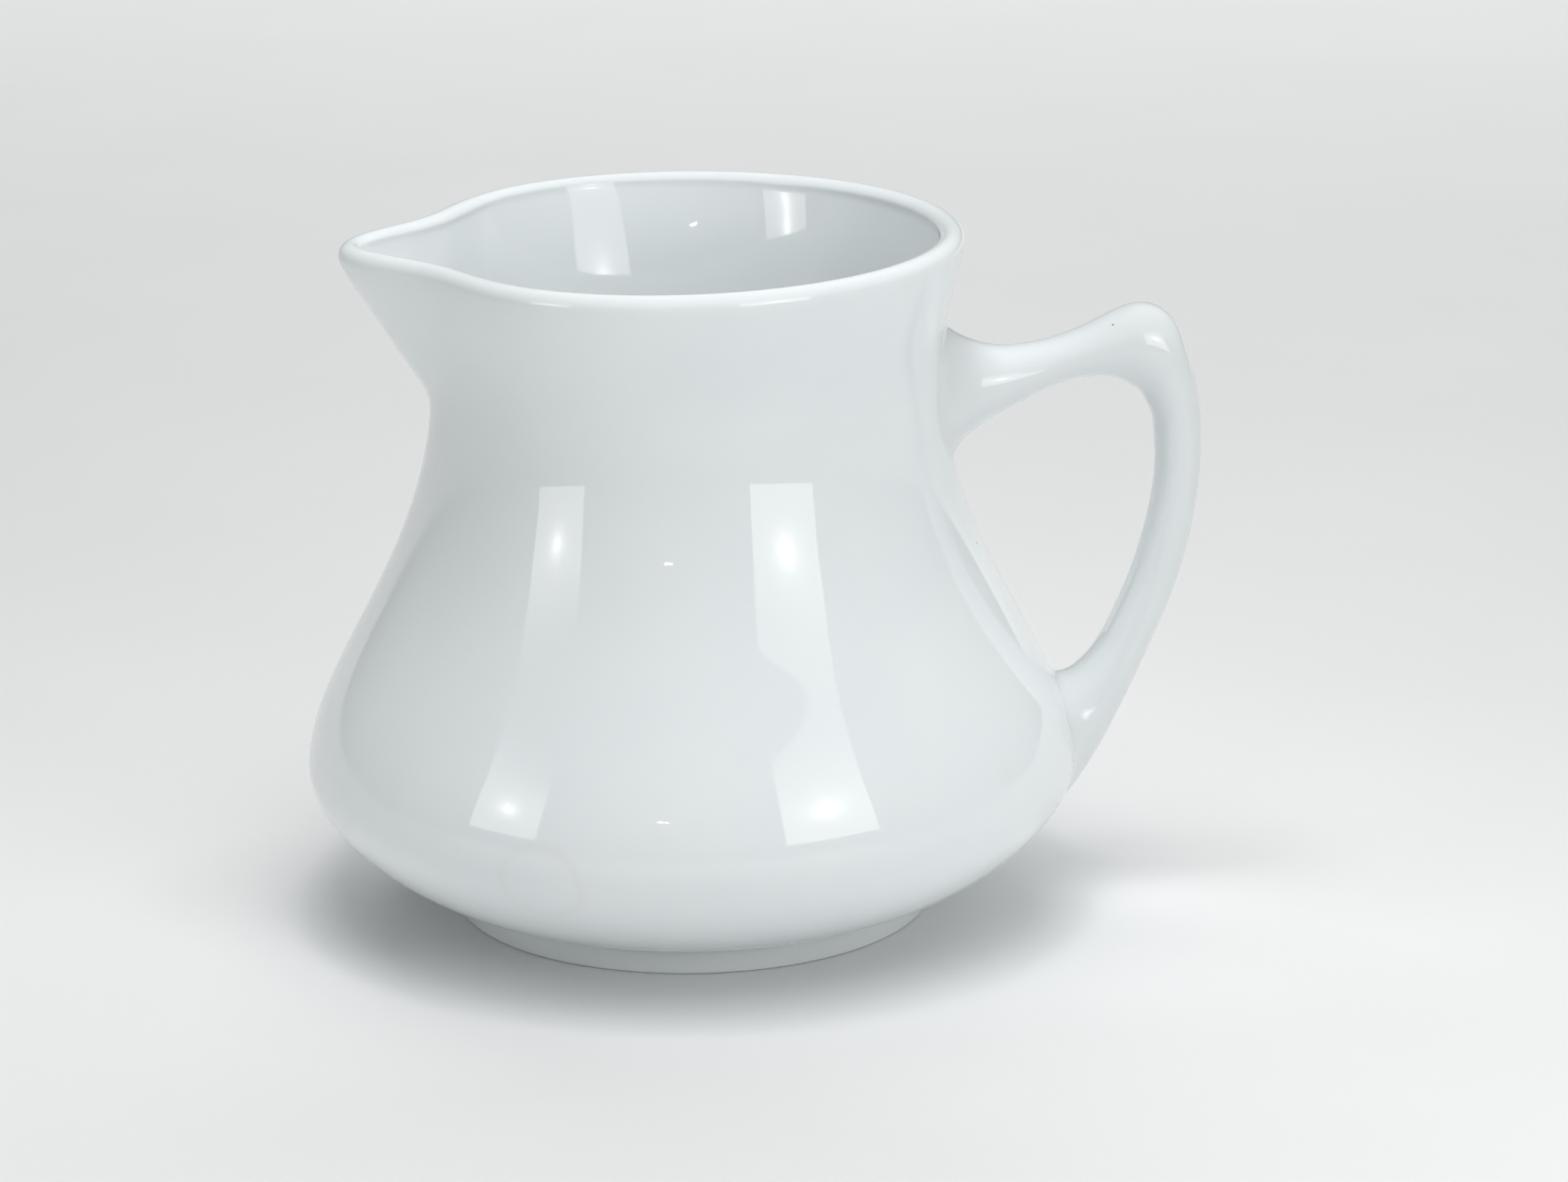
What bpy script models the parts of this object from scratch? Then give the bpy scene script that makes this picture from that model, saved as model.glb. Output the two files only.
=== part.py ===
"""Glazed white china pitcher: a bell-shaped pot on a low foot ring, with a pulled pouring lip and a
strap handle that rises to a thumb knuckle.

Metres, +Z up. The pitcher stands on z = 0 with its box centred on the origin; the lip points to -X
and the handle to +X. The four clay parts are separate objects: body, spout, handle and foot_ring.
"""

import math

import bmesh
import bpy
from mathutils import Vector
from mathutils.geometry import interpolate_bezier

MM = 0.001

# Pot
RIM_HEIGHT = 104.3 * MM  # where the wall ends, before its edge is rounded over
RIM_RADIUS = 44.5 * MM
RIM_FLARE = math.radians(14)  # lean of the wall from upright at the rim
NECK_RADIUS = 38.6 * MM
NECK_HEIGHT = 83 * MM
BELLY_RADIUS = 58.8 * MM
BELLY_HEIGHT = 22.9 * MM
WALL = 3.8 * MM
RIM_ROUND = 1.7 * MM

# Foot ring
FOOT_HEIGHT = 4.3 * MM
FOOT_RADIUS = 36.4 * MM
FOOT_WIDTH = 5.0 * MM
FOOT_ROUND = 0.8 * MM
FOOT_LEDGE = 0.8 * MM  # how far the pot's flat underside stands out past the ring

# Pouring lip
LIP_FOOT = 81.8 * MM  # height where the lip starts to leave the neck
LIP_REACH = 5.0 * MM  # how far it stands out past the flared wall
LIP_RAMP = 5.0 * MM  # height in which most of that reach is gained
LIP_SPREAD = math.radians(17.8)
LIP_LEAN = 2.7 * MM  # shift of the whole mouth towards the lip
PINCH_DEPTH = 8.1 * MM  # how far the rim is drawn in on both sides of the lip
PINCH_SPREAD = math.radians(40.9)
LIP_SEAM_FOOT = 76 * MM  # lowest point of the V along which the lip is let into the neck
LIP_SEAM_HALF = math.radians(27)  # half angle of that V at the rim, seen from the pot's axis

# Handle
HANDLE_REACH = 78.9 * MM  # from the pot's axis to the outermost point of the grip
ARM_HEIGHT = 84 * MM  # centre line of the arm where it leaves the upper root
GRIP_THICKNESS = 7.5 * MM
GRIP_WIDTH = 10.5 * MM
KNUCKLE_THICKNESS = 13.4 * MM
ROOT_THICKNESS = 17 * MM
ROOT_WIDTH = 15 * MM
TAIL_THICKNESS = 9.5 * MM
TAIL_WIDTH = 14 * MM
TAIL_HEIGHT = 15 * MM  # where the handle runs into the belly
HANDLE_SQUARENESS = 2.3  # exponent of the oval section; 2 is an ellipse

LUTE_GAP = 0.3 * MM  # joint between two clay parts

RING_STEPS = 80
ARC_POINTS = 8
SECTION_POINTS = 20
HANDLE_STATIONS = 36

AXIS_X = (BELLY_RADIUS - HANDLE_REACH) / 2

GLAZED_WHITE = (0.72, 0.76, 0.78, 1.0)
BARE_CLAY = (0.70, 0.67, 0.62, 1.0)


def clear_scene():
    for obj in list(bpy.data.objects):
        bpy.data.objects.remove(obj, do_unlink=True)
    for collection in list(bpy.data.collections):
        bpy.data.collections.remove(collection)


def new_collection(name):
    collection = bpy.data.collections.new(name)
    bpy.context.scene.collection.children.link(collection)
    return collection


def ceramic(name, colour, roughness):
    material = bpy.data.materials.new(name)
    material.use_nodes = True
    shader = material.node_tree.nodes["Principled BSDF"]
    shader.inputs["Base Color"].default_value = colour
    shader.inputs["Roughness"].default_value = roughness
    shader.inputs["Metallic"].default_value = 0.0
    return material


def place(obj, collection, material=None):
    """Stands the object on the pot's axis, in its collection and with its material."""
    obj.location = (AXIS_X, 0, 0)
    collection.objects.link(obj)
    if material:
        obj.data.materials.append(material)
    return obj


def arc(start, start_pull, end_pull, end):
    """Points of one smooth stretch of an outline, given as (radius, height) knots and handles."""
    flat = [Vector((r, 0, z)) for r, z in (start, start_pull, end_pull, end)]
    return interpolate_bezier(*flat, ARC_POINTS)


def pot_outline():
    """The outside of the pot from the rim down to the middle of the underside."""
    flare = RIM_HEIGHT - NECK_HEIGHT
    fall = NECK_HEIGHT - BELLY_HEIGHT
    bulge = BELLY_HEIGHT - FOOT_HEIGHT
    heel = FOOT_RADIUS + FOOT_LEDGE
    rim_pull = 0.33 * flare
    neck = arc(
        (RIM_RADIUS, RIM_HEIGHT),
        (RIM_RADIUS - rim_pull * math.sin(RIM_FLARE), RIM_HEIGHT - rim_pull * math.cos(RIM_FLARE)),
        (NECK_RADIUS, NECK_HEIGHT + 0.36 * flare),
        (NECK_RADIUS, NECK_HEIGHT),
    )
    shoulder = arc(
        (NECK_RADIUS, NECK_HEIGHT),
        (NECK_RADIUS, NECK_HEIGHT - 0.45 * fall),
        (BELLY_RADIUS, BELLY_HEIGHT + 0.235 * fall),
        (BELLY_RADIUS, BELLY_HEIGHT),
    )
    under = arc(
        (BELLY_RADIUS, BELLY_HEIGHT),
        (BELLY_RADIUS, BELLY_HEIGHT - 0.455 * bulge),
        (heel + 0.28 * (BELLY_RADIUS - heel), FOOT_HEIGHT + 0.02 * bulge),
        (heel, FOOT_HEIGHT),
    )
    return neck + shoulder[1:] + under[1:] + [Vector((0, 0, FOOT_HEIGHT))]


def turned(name, outline, closed=False):
    """A mesh of the outline turned once round Z."""
    count = len(outline)
    edges = [(i, i + 1) for i in range(count - 1)]
    if closed:
        edges.append((count - 1, 0))
    mesh = bpy.data.meshes.new(name)
    mesh.from_pydata(outline, edges, [])
    obj = bpy.data.objects.new(name, mesh)
    bpy.context.scene.collection.objects.link(obj)
    screw = obj.modifiers.new("Turn", "SCREW")
    screw.steps = RING_STEPS
    screw.render_steps = RING_STEPS
    screw.use_merge_vertices = True
    screw.merge_threshold = 0.0001
    evaluated = obj.evaluated_get(bpy.context.evaluated_depsgraph_get())
    result = bpy.data.meshes.new_from_object(evaluated)
    result.name = name
    bpy.data.objects.remove(obj, do_unlink=True)
    return result


def lip_offset(angle, height):
    """How far the pulled mouth moves a point of the turned wall outwards.

    angle is measured from the lip's direction. The lip is a narrow bell added to the round wall, the
    pinch on both sides of it a wider and shallower one taken away, and the lean a cosine.
    """
    if height <= LIP_FOOT:
        return 0.0
    rise = (height - LIP_FOOT) / (RIM_HEIGHT - LIP_FOOT)
    reach = LIP_REACH * (1 - math.exp(-(height - LIP_FOOT) / LIP_RAMP))
    pinch = PINCH_DEPTH * rise**2
    spread = LIP_SPREAD * (0.6 + 0.4 * rise)
    lip = (reach + pinch) * math.exp(-((angle / spread) ** 2))
    drawn_in = pinch * math.exp(-((angle / PINCH_SPREAD) ** 2))
    return lip - drawn_in + LIP_LEAN * rise**2 * math.cos(angle)


def pulled_pot(name):
    """The outside of the pot, open at the rim: turned round, then its mouth pulled into the lip."""
    mesh = turned(name, pot_outline())
    for vertex in mesh.vertices:
        radius = math.hypot(vertex.co.x, vertex.co.y)
        if radius > 0:
            angle = math.atan2(vertex.co.y, -vertex.co.x)
            scale = 1 + lip_offset(angle, vertex.co.z) / radius
            vertex.co.x *= scale
            vertex.co.y *= scale
    return mesh


def wall_modifiers(obj):
    """Gives the open surface its wall, inwards, and rounds over the rim's two edges."""
    wall = obj.modifiers.new("Wall", "SOLIDIFY")
    wall.thickness = WALL
    wall.offset = -1
    wall.use_even_offset = True
    wall.use_quality_normals = True
    edge = obj.modifiers.new("Rim", "BEVEL")
    edge.width = min(RIM_ROUND, 0.45 * WALL)
    edge.segments = 3
    edge.limit_method = "ANGLE"
    edge.angle_limit = math.radians(60)


def boolean(obj, operation, other):
    cut = obj.modifiers.new(other.name, "BOOLEAN")
    cut.operation = operation
    cut.object = other
    cut.solver = "EXACT"


def seam_wedge(name, growth, cutters):
    """A V-shaped wedge from the pot's axis out through the lip, grown on all its faces.

    Seen from the lip's side it is a triangle that stands on its point.
    """
    top = RIM_HEIGHT + 2 * WALL
    half_width = (RIM_RADIUS + LIP_LEAN) * math.sin(LIP_SEAM_HALF)
    slope = half_width / (RIM_HEIGHT - LIP_SEAM_FOOT)
    lean = math.atan(slope)
    foot = LIP_SEAM_FOOT - growth / math.sin(lean)
    half_top = slope * (top - foot)
    reach = RIM_RADIUS + LIP_REACH + LIP_LEAN + 2 * WALL
    outline = [(0, foot), (half_top, top), (-half_top, top)]
    mesh = bpy.data.meshes.new(name)
    shape = bmesh.new()
    near = [shape.verts.new((-NECK_RADIUS / 2, y, z)) for y, z in outline]
    face = shape.faces.new(near)
    grown = bmesh.ops.extrude_face_region(shape, geom=[face])
    far = [item for item in grown["geom"] if isinstance(item, bmesh.types.BMVert)]
    bmesh.ops.translate(shape, verts=far, vec=(NECK_RADIUS / 2 - reach, 0, 0))
    bmesh.ops.recalc_face_normals(shape, faces=shape.faces)
    shape.to_mesh(mesh)
    shape.free()
    return as_cutter(bpy.data.objects.new(name, mesh), cutters)


def as_cutter(obj, cutters):
    obj.hide_render = True
    obj.display_type = "WIRE"
    return place(obj, cutters)


def pot_core(cutters):
    """The pot's outer shape as one solid, grown by the joint: what the handle's roots are cut to."""
    mesh = pulled_pot("pot_core")
    shape = bmesh.new()
    shape.from_mesh(mesh)
    bmesh.ops.holes_fill(shape, edges=[edge for edge in shape.edges if edge.is_boundary])
    bmesh.ops.recalc_face_normals(shape, faces=shape.faces)
    shape.to_mesh(mesh)
    shape.free()
    core = as_cutter(bpy.data.objects.new("pot_core", mesh), cutters)
    growth = core.modifiers.new("Joint", "DISPLACE")
    growth.strength = LUTE_GAP
    growth.mid_level = 0
    return core


def body(parts, glaze, notch):
    """The pot itself, with the V cut out of its neck where the lip is let in."""
    obj = place(bpy.data.objects.new("body", pulled_pot("body")), parts, glaze)
    wall_modifiers(obj)
    boolean(obj, "DIFFERENCE", notch)
    return obj


def spout(parts, glaze, wedge):
    """The pouring lip: the part of the pulled wall that stands in the V."""
    obj = place(bpy.data.objects.new("spout", pulled_pot("spout")), parts, glaze)
    wall_modifiers(obj)
    boolean(obj, "INTERSECT", wedge)
    return obj


def pot_radius(height):
    """Outer radius of the turned pot at a height."""
    outline = pot_outline()
    for upper, lower in zip(outline, outline[1:]):
        if lower.z <= height <= upper.z and upper.z > lower.z:
            share = (height - lower.z) / (upper.z - lower.z)
            return lower.x + share * (upper.x - lower.x)
    return outline[-2].x


def handle_path():
    """Stations of the handle from the upper root to the tail: (centre x, centre z, thickness, width).

    The arm and the grip are placed by shares of the reach past the neck and of the drop from the arm
    to the tail. The tail slides down the belly and dives into it.
    """
    neck = pot_radius(ARM_HEIGHT - 6 * MM)
    belly = pot_radius(TAIL_HEIGHT)
    arm = HANDLE_REACH - GRIP_THICKNESS / 2 - neck
    drop = ARM_HEIGHT - TAIL_HEIGHT
    above_tail = [
        (-0.05, 0.913, 1.20 * ROOT_THICKNESS, ROOT_WIDTH),
        (0.06, 0.928, ROOT_THICKNESS, 0.93 * ROOT_WIDTH),
        (0.26, 0.955, 1.35 * GRIP_THICKNESS, 1.08 * GRIP_WIDTH),
        (0.59, 1.000, 1.04 * GRIP_THICKNESS, GRIP_WIDTH),
        (0.74, 1.022, 0.80 * KNUCKLE_THICKNESS, 1.08 * GRIP_WIDTH),
        (0.86, 1.013, KNUCKLE_THICKNESS, 1.14 * GRIP_WIDTH),
        (0.945, 0.946, 0.88 * KNUCKLE_THICKNESS, 1.10 * GRIP_WIDTH),
        (0.988, 0.864, 1.17 * GRIP_THICKNESS, GRIP_WIDTH),
        (1.00, 0.781, GRIP_THICKNESS, GRIP_WIDTH),
        (0.968, 0.619, GRIP_THICKNESS, GRIP_WIDTH),
        (0.91, 0.510, GRIP_THICKNESS, GRIP_WIDTH),
        (0.838, 0.406, 1.04 * GRIP_THICKNESS, GRIP_WIDTH),
        (0.758, 0.310, 0.88 * TAIL_THICKNESS, 0.8 * TAIL_WIDTH),
    ]
    down_the_belly = [
        (7.5 * MM, 0.215, TAIL_THICKNESS, 0.9 * TAIL_WIDTH),
        (3.9 * MM, 0.115, TAIL_THICKNESS, TAIL_WIDTH),
        (-1.0 * MM, 0.046, 0.84 * TAIL_THICKNESS, TAIL_WIDTH),
        (-6.7 * MM, -0.014, 0.63 * TAIL_THICKNESS, 0.9 * TAIL_WIDTH),
    ]
    path = [(neck + out * arm, up, *section) for out, up, *section in above_tail]
    path += [(belly + out, up, *section) for out, up, *section in down_the_belly]
    return [(x, TAIL_HEIGHT + up * drop, *section) for x, up, *section in path]


def smooth_stations(path, count):
    """The path's values read at even steps along a Catmull-Rom curve through its stations."""
    ends = [path[0]] + path + [path[-1]]
    result = []
    for step in range(count + 1):
        place_on = step / count * (len(path) - 1)
        index = min(int(place_on), len(path) - 2)
        t = place_on - index
        around = ends[index : index + 4]
        result.append([
            0.5 * (2 * b + (c - a) * t + (2 * a - 5 * b + 4 * c - d) * t**2 + (3 * b - a - 3 * c + d) * t**3)
            for a, b, c, d in zip(*around)
        ])
    return result


def handle(parts, glaze, core):
    """The strap handle: oval sections lofted square to its centre line, its roots cut to the pot."""
    stations = smooth_stations(handle_path(), HANDLE_STATIONS)
    shape = bmesh.new()
    rings = []
    for index, (x, z, thickness, width) in enumerate(stations):
        before = stations[max(index - 1, 0)]
        after = stations[min(index + 1, len(stations) - 1)]
        along = Vector((after[0] - before[0], 0, after[1] - before[1])).normalized()
        across = Vector((-along.z, 0, along.x))
        ring = []
        for step in range(SECTION_POINTS):
            turn = 2 * math.pi * step / SECTION_POINTS
            power = 2 / HANDLE_SQUARENESS
            side = math.copysign(abs(math.cos(turn)) ** power, math.cos(turn)) * width / 2
            lift = math.copysign(abs(math.sin(turn)) ** power, math.sin(turn)) * thickness / 2
            ring.append(shape.verts.new(Vector((x, side, z)) + lift * across))
        rings.append(ring)
    for first, second in zip(rings, rings[1:]):
        for step in range(SECTION_POINTS):
            after = (step + 1) % SECTION_POINTS
            shape.faces.new((first[step], first[after], second[after], second[step]))
    shape.faces.new(rings[0])
    shape.faces.new(rings[-1])
    bmesh.ops.recalc_face_normals(shape, faces=shape.faces)
    mesh = bpy.data.meshes.new("handle")
    shape.to_mesh(mesh)
    shape.free()
    obj = place(bpy.data.objects.new("handle", mesh), parts, glaze)
    boolean(obj, "DIFFERENCE", core)
    return obj


def foot_ring(parts, clay):
    """The ring that the pot stands on, turned from a small rounded section."""
    top = FOOT_HEIGHT - LUTE_GAP
    inner = FOOT_RADIUS - FOOT_WIDTH
    quarter = [math.radians(30 * step) for step in range(4)]
    outside = [
        (FOOT_RADIUS - FOOT_ROUND * (1 - math.cos(turn)), FOOT_ROUND * (1 - math.sin(turn)))
        for turn in quarter
    ]
    inside = [
        (inner + FOOT_ROUND * (1 - math.sin(turn)), FOOT_ROUND * (1 - math.cos(turn)))
        for turn in quarter
    ]
    outline = [(inner, top), (FOOT_RADIUS, top)] + outside + inside
    mesh = turned("foot_ring", [Vector((r, 0, z)) for r, z in outline], closed=True)
    return place(bpy.data.objects.new("foot_ring", mesh), parts, clay)


def main():
    clear_scene()
    parts = new_collection("pitcher")
    cutters = new_collection("cutters")
    glaze = ceramic("glazed_china", GLAZED_WHITE, 0.08)
    clay = ceramic("bare_china_foot", BARE_CLAY, 0.6)
    wedge = seam_wedge("lip_wedge", 0.0, cutters)
    notch = seam_wedge("lip_notch", LUTE_GAP, cutters)
    core = pot_core(cutters)
    pieces = [
        body(parts, glaze, notch),
        spout(parts, glaze, wedge),
        handle(parts, glaze, core),
        foot_ring(parts, clay),
    ]
    for piece in pieces:
        piece.data.shade_smooth()
        piece.data.set_sharp_from_angle(angle=math.radians(40))


main()
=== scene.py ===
"""Glazed china pitcher: a bell-shaped pot with a pulled lip, a foot ring and an ear handle.

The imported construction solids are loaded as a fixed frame, and the finished surfaces are laid round
them: the pot with its lip, the handle with the fillets that run into the pot, the glazed foot ring
and its bare ground face. A white table and a small studio stand round them. Lengths are in metres.
"""

import math

import bpy
import numpy as np
from mathutils import Matrix, Vector


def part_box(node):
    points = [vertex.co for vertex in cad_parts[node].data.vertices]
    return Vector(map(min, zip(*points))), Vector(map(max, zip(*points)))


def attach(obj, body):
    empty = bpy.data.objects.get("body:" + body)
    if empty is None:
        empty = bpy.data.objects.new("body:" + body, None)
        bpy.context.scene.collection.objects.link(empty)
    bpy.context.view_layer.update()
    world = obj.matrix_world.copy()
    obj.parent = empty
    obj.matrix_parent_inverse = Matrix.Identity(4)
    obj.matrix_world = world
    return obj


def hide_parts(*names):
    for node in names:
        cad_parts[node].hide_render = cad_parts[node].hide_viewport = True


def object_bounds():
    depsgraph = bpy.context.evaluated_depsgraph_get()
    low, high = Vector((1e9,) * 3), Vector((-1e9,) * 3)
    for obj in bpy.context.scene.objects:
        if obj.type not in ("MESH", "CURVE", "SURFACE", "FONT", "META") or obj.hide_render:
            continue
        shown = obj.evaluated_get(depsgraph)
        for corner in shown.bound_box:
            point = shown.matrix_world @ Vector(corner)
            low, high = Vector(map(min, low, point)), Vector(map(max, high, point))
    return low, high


bl_info = {
    "name": "Glazed China Pitcher",
    "version": (1, 0, 0),
    "blender": (4, 5, 0),
    "location": "3D View > Sidebar > Pitcher",
    "description": "Models a glazed china pitcher round its CAD solids, with a small studio",
    "category": "Add Mesh",
}

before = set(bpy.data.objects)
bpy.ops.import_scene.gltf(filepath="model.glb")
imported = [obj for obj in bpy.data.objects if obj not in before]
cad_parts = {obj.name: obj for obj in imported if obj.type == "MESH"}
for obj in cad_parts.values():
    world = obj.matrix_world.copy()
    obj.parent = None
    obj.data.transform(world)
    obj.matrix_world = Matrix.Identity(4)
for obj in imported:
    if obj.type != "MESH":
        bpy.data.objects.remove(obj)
CAD_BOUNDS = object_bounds()

MM = 0.001
BODY = "root"

FOOT_LOW, FOOT_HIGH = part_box("foot_ring")
BODY_LOW, BODY_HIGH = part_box("body")
AXIS_X = (FOOT_LOW.x + FOOT_HIGH.x) / 2
FOOT_RADIUS = (FOOT_HIGH.x - FOOT_LOW.x) / 2
BELLY_RADIUS = (BODY_HIGH.y - BODY_LOW.y) / 2
UNDERSIDE = BODY_LOW.z
HANDLE_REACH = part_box("handle")[1].x - AXIS_X
TOP = CAD_BOUNDS[1].z

# Middles of the two faint stains on the lower belly.
RING_STAIN = (AXIS_X - 26.8 * MM, -51.9 * MM, 20.4 * MM)
SPOT_STAIN = (AXIS_X + 43.3 * MM, -37.7 * MM, 30 * MM)


# Sizes and colours that a user would change


def length(name, description, default):
    return bpy.props.FloatProperty(
        name=name, description=description, default=default, min=0.0, precision=5, unit="LENGTH"
    )


def angle(name, description, degrees):
    return bpy.props.FloatProperty(
        name=name, description=description, default=math.radians(degrees), subtype="ANGLE"
    )


def tint(name, description, default):
    return bpy.props.StringProperty(name=name, description=description, default=default)


class PitcherPot(bpy.types.PropertyGroup):
    rim_radius: length("Rim radius", "Outer radius of the thrown wall at its top", 44.5 * MM)
    rim_height: length(
        "Rim height", "Height of the outer wall before the rim rounds over", TOP - 2.3 * MM
    )
    rim_flare: angle("Rim flare", "Lean of the wall from upright at the rim", 14)
    neck_radius: length("Neck radius", "Outer radius at the narrowest place", 38.6 * MM)
    neck_height: length("Neck height", "Height of the narrowest place", 83 * MM)
    belly_radius: length("Belly radius", "Outer radius at the widest place", BELLY_RADIUS)
    belly_height: length("Belly height", "Height of the widest place", 22.9 * MM)
    wall: length("Wall", "Thickness of the wall", 3.8 * MM)
    neck_thinning: length("Neck thinning", "How much thinner the wall is by the neck", 1.9 * MM)
    heel_ledge: length(
        "Heel ledge", "How far the flat underside stands out past the foot ring", 0.8 * MM
    )
    lip_foot: length("Lip foot", "Height where the lip leaves the neck", 82.2 * MM)
    lip_reach: length("Lip reach", "How far the lip stands out past the flared wall", 5.3 * MM)
    lip_ramp: length("Lip ramp", "Height in which most of the reach is gained", 4.4 * MM)
    lip_spread: angle("Lip spread", "Half width of the lip, seen from the pot's axis", 17.8)
    lip_lean: length("Mouth lean", "Shift of the whole mouth towards the lip", 2.7 * MM)
    lip_crease: length("Lip crease", "Softness of the corner below the lip", 1.3 * MM)
    lip_droop: length(
        "Lip droop", "How much lower the rim is at the lip than at the handle", 1.0 * MM
    )
    lip_curl: length("Lip curl", "How far the tip of the lip turns back in at the top", 0.7 * MM)
    back_hollow: length(
        "Back hollow", "How much the flare is hollowed on the handle's side", 0.65 * MM
    )
    pinch_depth: length("Pinch depth", "How far the rim is drawn in beside the lip", 8.1 * MM)
    pinch_spread: angle("Pinch spread", "Half width of that pinch", 40.9)


class PitcherHandle(bpy.types.PropertyGroup):
    reach: length("Reach", "From the pot's axis to the outermost point of the grip", HANDLE_REACH)
    grip_width: length("Grip width", "Width of the grip across the handle", 10.5 * MM)
    root_height: length("Root height", "Height of the upper root's middle", 78.5 * MM)
    root_up: length("Root rise", "Upper root's reach up the neck from its middle", 12.9 * MM)
    root_down: length("Root fall", "Upper root's reach down the neck from its middle", 10.1 * MM)
    root_side: length("Root half width", "Upper root's reach round the neck", 14.0 * MM)
    tail_height: length("Tail height", "Height of the lower root's middle", 24.0 * MM)
    tail_up: length("Tail rise", "Lower root's reach up the belly from its middle", 10.9 * MM)
    tail_down: length("Tail fall", "Lower root's reach down the belly from its middle", 13.0 * MM)
    tail_side: length("Tail half width", "Lower root's reach round the belly", 12.5 * MM)


class PitcherFoot(bpy.types.PropertyGroup):
    radius: length("Foot radius", "Outer radius of the foot ring", FOOT_RADIUS + 0.2 * MM)
    width: length("Foot width", "Width of the foot ring", 5.0 * MM)
    edge: length("Foot edge", "Rounding of the ring's lower edges", 0.45 * MM)
    bare_width: length("Bare width", "Width of the ground, unglazed face", 3.2 * MM)


class PitcherFinish(bpy.types.PropertyGroup):
    glaze: tint("Glaze", "Colour of the white china under its glaze, as an sRGB hex", "F1F5F6")
    glaze_deep: tint("Deep glaze", "Colour where the pot's glaze is deeper, in sRGB hex", "E9EFF0")
    glaze_thick: tint("Handle glaze", "Colour of the handle and foot, as an sRGB hex", "E8ECED")
    glaze_pooled: tint("Pooled glaze", "Colour where the handle's glaze is deeper", "E2E7E8")
    stain: tint("Stain", "Colour of the faint tea stains, as an sRGB hex", "D9D2C0")
    speck: tint("Speck", "Colour of iron specks, as an sRGB hex", "6E6A64")
    bare: tint("Bare clay", "Colour of the ground foot, as an sRGB hex", "D8D2C6")
    table: tint("Table", "Colour of the table top, as an sRGB hex", "EDEEEE")
    table_cloud: tint("Table cloud", "Colour the table clouds to, as an sRGB hex", "E9EAEA")


SETTINGS = {
    "pitcher_pot": PitcherPot,
    "pitcher_handle": PitcherHandle,
    "pitcher_foot": PitcherFoot,
    "pitcher_finish": PitcherFinish,
}


# Curves and grids


def bezier(a, b, c, d, count):
    """Cubic Bezier (1-t)^3 a + 3t(1-t)^2 b + 3t^2(1-t) c + t^3 d at even steps of t from 0 to 1."""
    t = np.linspace(0, 1, count)[:, None]
    a, b, c, d = (np.array(point) for point in (a, b, c, d))
    return (1 - t) ** 3 * a + 3 * t * (1 - t) ** 2 * b + 3 * t**2 * (1 - t) * c + t**3 * d


def travelled(points):
    """Distance along a polyline at each of its points."""
    steps = np.linalg.norm(np.diff(points, axis=0), axis=1)
    return np.concatenate([[0.0], np.cumsum(steps)])


def evenly(points, count):
    """The polyline read at even distances along it."""
    along = travelled(points)
    at = np.linspace(0, along[-1], count)
    return np.stack([np.interp(at, along, column) for column in points.T], axis=-1)


def natural_spline(knots, values, at):
    """Cubic spline through the values with zero curvature at both ends.

    The second derivatives m solve h0 m0 + 2 (h0 + h1) m1 + h1 m2 = 6 (slope1 - slope0) at each
    inner knot, and each stretch is the cubic with those second derivatives at its ends.
    """
    step = np.diff(knots)
    slope = np.diff(values, axis=0) / step[:, None]
    count = len(knots)
    matrix = np.eye(count)
    right = np.zeros_like(values)
    inner = np.arange(1, count - 1)
    matrix[inner, inner - 1] = step[:-1]
    matrix[inner, inner] = 2 * (step[:-1] + step[1:])
    matrix[inner, inner + 1] = step[1:]
    right[1:-1] = 6 * np.diff(slope, axis=0)
    bend = np.linalg.solve(matrix, right)
    index = np.clip(np.searchsorted(knots, at) - 1, 0, count - 2)
    h = step[index][:, None]
    b = ((at - knots[index]) / step[index])[:, None]
    a = 1 - b
    curve = ((a**3 - a) * bend[index] + (b**3 - b) * bend[index + 1]) * h**2 / 6
    return a * values[index] + b * values[index + 1] + curve


def unit(vectors):
    """The vectors at length 1."""
    return vectors / np.linalg.norm(vectors, axis=-1, keepdims=True)


def round_derivative(grid):
    """Central difference round a closed grid's columns."""
    return np.roll(grid, -1, axis=1) - np.roll(grid, 1, axis=1)


def around(radius, turn, height):
    """Points at a radius and a height round the pot's axis, with turn measured from the lip."""
    radius, turn, height = np.broadcast_arrays(radius, turn, height)
    return np.stack([AXIS_X - radius * np.cos(turn), radius * np.sin(turn), height], axis=-1)


def full_turn(columns):
    """Even steps once round, without the last, which is the first again."""
    return 2 * np.pi * np.arange(columns) / columns


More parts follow.
